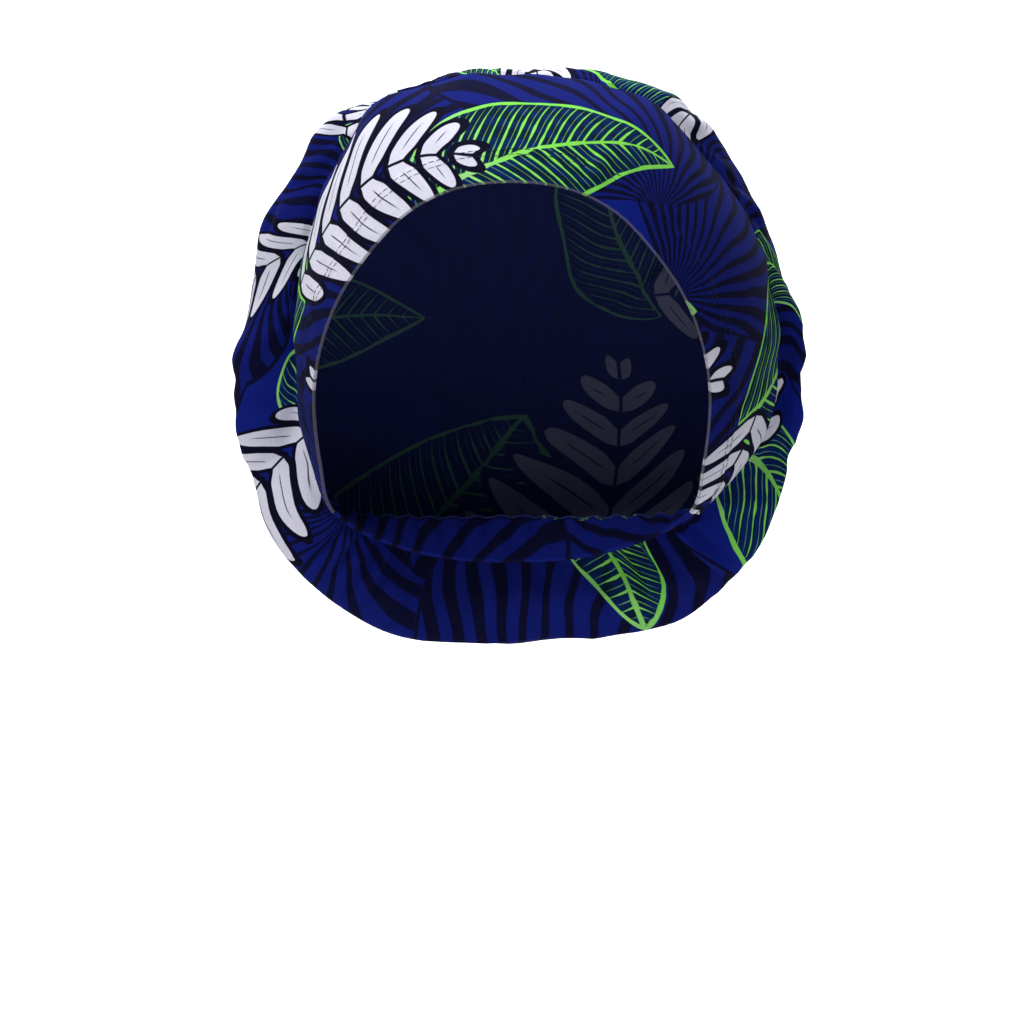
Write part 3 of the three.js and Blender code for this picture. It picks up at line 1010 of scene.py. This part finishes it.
def make_thread_material():
    material = bpy.data.materials.new("navy thread")
    material.use_nodes = True
    tree = material.node_tree
    shader = tree.nodes["Principled BSDF"]
    place = tree.nodes.new("ShaderNodeTexCoord")
    ply = tree.nodes.new("ShaderNodeTexWave")
    ply.inputs["Scale"].default_value = 900
    ply.inputs["Distortion"].default_value = 2
    tree.links.new(place.outputs["Object"], ply.inputs["Vector"])
    colour = blend_colour(tree, Signal(tree, ply.outputs["Fac"]), DARK_THREAD, THREAD)
    tree.links.new(colour.socket, shader.inputs["Base Color"])
    for label, value in COTTON_THREAD.items():
        shader.inputs[label].default_value = value
    return material


# Stitches
STITCH_LENGTH = 0.0026
STITCH_GAP = 0.0005
THREAD_RADIUS = 0.00016
STITCH_SIDES = 6
STITCH_TURN = 0.0005
HEM_ROWS_AT = (0.0115, 0.0142)
CASING_ROWS_AT = (0.0025, 0.0155)
HEM_ROW_TURNS = (0.004 - PANEL_END, PANEL_END - 0.012)
CASING_ROW_TURNS = (PANEL_END + 0.004, 1.988 - PANEL_END)
CASING_TURNS = (PANEL_END + 0.001, 2 - PANEL_END - 0.001)


def hem_stitch_place(turn, across):
    u = (turn + PANEL_END) / (2 * PANEL_END)
    lift = PANEL_CLOTH / 2 + panel_surface(u, across) + THREAD_RADIUS * 0.5
    return band_at(turn, across) + band_frame(turn)[2] * lift


def casing_stitch_place(turn, across):
    return band_at(turn, across) + band_frame(turn)[2] * (CASING_CLOTH / 2 + THREAD_RADIUS * 0.5)


def stitch_points(from_edge, place, from_turn, to_turn):
    """The ends of each stitch of a row that keeps its distance from the opening's edge."""
    def at(turn):
        return place(turn, from_edge / band_frame(turn)[1].length)

    turn = from_turn
    ends = []
    while turn < to_turn:
        speed = (at(turn + STITCH_TURN) - at(turn)).length / STITCH_TURN
        stop = turn + STITCH_LENGTH / speed
        ends.append((at(turn), at(stop)))
        turn = stop + STITCH_GAP / speed
    return ends


def add_stitch(bm, start, end):
    """One stitch: a thread whose ends dip into the cloth."""
    way = end - start
    place = way.to_track_quat("Z", "Y").to_matrix().to_4x4()
    place.translation = (start + end) / 2
    place = place @ Matrix.Diagonal((THREAD_RADIUS, THREAD_RADIUS, way.length / 2, 1))
    bmesh.ops.create_uvsphere(bm, u_segments=STITCH_SIDES, v_segments=STITCH_SIDES, radius=1.0, matrix=place)


def make_stitches():
    piece = new_piece("hem_stitches")
    bm = bmesh.new()
    rows = [stitch_points(row, hem_stitch_place, *HEM_ROW_TURNS) for row in HEM_ROWS_AT]
    rows += [stitch_points(row, casing_stitch_place, *CASING_ROW_TURNS) for row in CASING_ROWS_AT]
    for row in rows:
        for start, end in row:
            add_stitch(bm, start, end)
    finish_mesh(piece, bm)
    return piece


# The studio: a pale floor, three soft lights and the camera
FLOOR_HEIGHT = -0.40
FLOOR_REACH = 3.0
BACKDROP_FOOT = 1.2
BACKDROP_RADIUS = 1.0
BACKDROP_HEIGHT = 2.5
BACKDROP_STEPS = 24
BACKDROP_GLOW = 0.75
GLOW_FROM = 0.1
GLOW_TO = BACKDROP_FOOT + 0.4
PALE_GREY = (0.62, 0.62, 0.62, 1)
PLAIN_WHITE = (1, 1, 1, 1)
AMBIENT = 0.16
LIT_POINT = (0, 0, -0.1)
BACKDROP_POINT = (0, 2.0, 0.0)
# Name, place, the point that it lights, width and height, and power in watts
LIGHTS = [
    ("front box", (-0.9, -1.9, 1.3), LIT_POINT, (0.7, 0.6), 31),
    ("top box", (-0.1, -0.4, 1.5), LIT_POINT, (0.9, 0.9), 16),
    ("backdrop box", (0, 0.7, 1.9), BACKDROP_POINT, (2.0, 0.6), 60),
]
CAMERA_PLACE = (0, -1.8, -0.167)
CAMERA_LENS = 162.2
CAMERA_SENSOR = 36


def make_floor():
    """A pale floor that curves up into a backdrop."""
    piece = new_piece("studio_floor")
    bm = bmesh.new()
    front = [bm.verts.new((side * FLOOR_REACH, -FLOOR_REACH, FLOOR_HEIGHT)) for side in (-1, 1)]
    edge = bm.edges.new(front)
    back = bmesh.ops.extrude_edge_only(bm, edges=[edge])["geom"]
    verts = [item for item in back if isinstance(item, bmesh.types.BMVert)]
    bmesh.ops.translate(bm, verts=verts, vec=(0, FLOOR_REACH + BACKDROP_FOOT, 0))
    curve = bmesh.ops.spin(
        bm,
        geom=[item for item in back if isinstance(item, bmesh.types.BMEdge)],
        cent=(0, BACKDROP_FOOT, FLOOR_HEIGHT + BACKDROP_RADIUS),
        axis=(1, 0, 0),
        angle=math.radians(90),
        steps=BACKDROP_STEPS,
    )
    edges = [item for item in curve["geom_last"] if isinstance(item, bmesh.types.BMEdge)]
    top = bmesh.ops.extrude_edge_only(bm, edges=edges)["geom"]
    verts = [item for item in top if isinstance(item, bmesh.types.BMVert)]
    bmesh.ops.translate(bm, verts=verts, vec=(0, 0, BACKDROP_HEIGHT))
    bmesh.ops.remove_doubles(bm, verts=bm.verts, dist=MERGE_DISTANCE)
    bmesh.ops.recalc_face_normals(bm, faces=bm.faces)
    finish_mesh(piece, bm)
    material = bpy.data.materials.new("pale floor")
    material.use_nodes = True
    shader = material.node_tree.nodes["Principled BSDF"]
    shader.inputs["Base Color"].default_value = PALE_GREY
    shader.inputs["Roughness"].default_value = 0.9
    shader.inputs["Emission Color"].default_value = PLAIN_WHITE
    tree = material.node_tree
    place = tree.nodes.new("ShaderNodeTexCoord")
    apart = tree.nodes.new("ShaderNodeSeparateXYZ")
    tree.links.new(place.outputs["Object"], apart.inputs[0])
    glow = Signal(tree, apart.outputs[1]).rise(GLOW_FROM, GLOW_TO) * BACKDROP_GLOW
    tree.links.new(glow.socket, shader.inputs["Emission Strength"])
    piece.data.materials.append(material)


def add_light(name, place, aim, size, power):
    lamp = bpy.data.lights.new(name, "AREA")
    lamp.shape = "RECTANGLE"
    lamp.size, lamp.size_y = size
    lamp.energy = power
    light = bpy.data.objects.new(name, lamp)
    light.location = place
    light.rotation_euler = (Vector(aim) - Vector(place)).to_track_quat("-Z", "Y").to_euler()
    scene.collection.objects.link(light)


def light_studio():
    world = bpy.data.worlds.new("studio")
    scene.world = world
    world.use_nodes = True
    background = world.node_tree.nodes["Background"]
    background.inputs["Color"].default_value = PLAIN_WHITE
    background.inputs["Strength"].default_value = AMBIENT
    for light in LIGHTS:
        add_light(*light)


def set_camera():
    eye = bpy.data.cameras.new("camera")
    eye.lens = CAMERA_LENS
    eye.sensor_width = CAMERA_SENSOR
    camera = bpy.data.objects.new("camera", eye)
    camera.location = CAMERA_PLACE
    camera.rotation_euler = (math.radians(90), 0, 0)
    scene.collection.objects.link(camera)
    scene.camera = camera


set_camera()
scene.view_settings.view_transform = "Standard"
light_studio()
make_floor()

leaf_place = make_leaf_place()
leaf_print = make_leaf_print(make_shade_fan(leaf_place), make_veined_leaf(leaf_place), make_frond(leaf_place))
poplin = make_poplin()
panel_cloth = cloth_material("printed poplin, panel", leaf_print, poplin, shift=(0.03, 0.10), edge_highlight=True)
casing_cloth = cloth_material("printed poplin, casing", leaf_print, poplin, shift=(0.02, -0.092))
lining_cloth = cloth_material("printed poplin, lining", leaf_print, poplin, shift=(0.11, 0.07), edge_highlight=True)
bag_cloth = cloth_material("printed poplin, bag", leaf_print, poplin, shift=(-0.128, 0.080))
bag_reverse = cloth_material("printed poplin, reverse", leaf_print, poplin, shift=(-0.128, 0.080), fade=0.8)

bag = make_bag()
bag.data.materials.append(bag_cloth)
bag.data.materials.append(bag_reverse)
add_wall(bag, BAG_CLOTH, even=False, rim=1)

panel = make_band("front_panel_cloth", -PANEL_END, PANEL_END, PANEL_COLUMNS, PANEL_ROWS, panel_surface)
panel.data.materials.append(panel_cloth)
panel.data.materials.append(lining_cloth)
add_wall(panel, PANEL_CLOTH)
round_edges(panel)

casing = make_band("nape_casing_cloth", *CASING_TURNS, CASING_COLUMNS, CASING_ROWS, lambda u, v: 0)
casing.data.materials.append(casing_cloth)
casing.data.materials.append(casing_cloth)
add_wall(casing, CASING_CLOTH)
round_edges(casing)

stitches = make_stitches()
stitches.data.materials.append(make_thread_material())

for piece in (bag, panel, casing, stitches):
    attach(piece, "root")
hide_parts("crown_bag")
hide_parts("front_panel")
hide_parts("nape_casing")
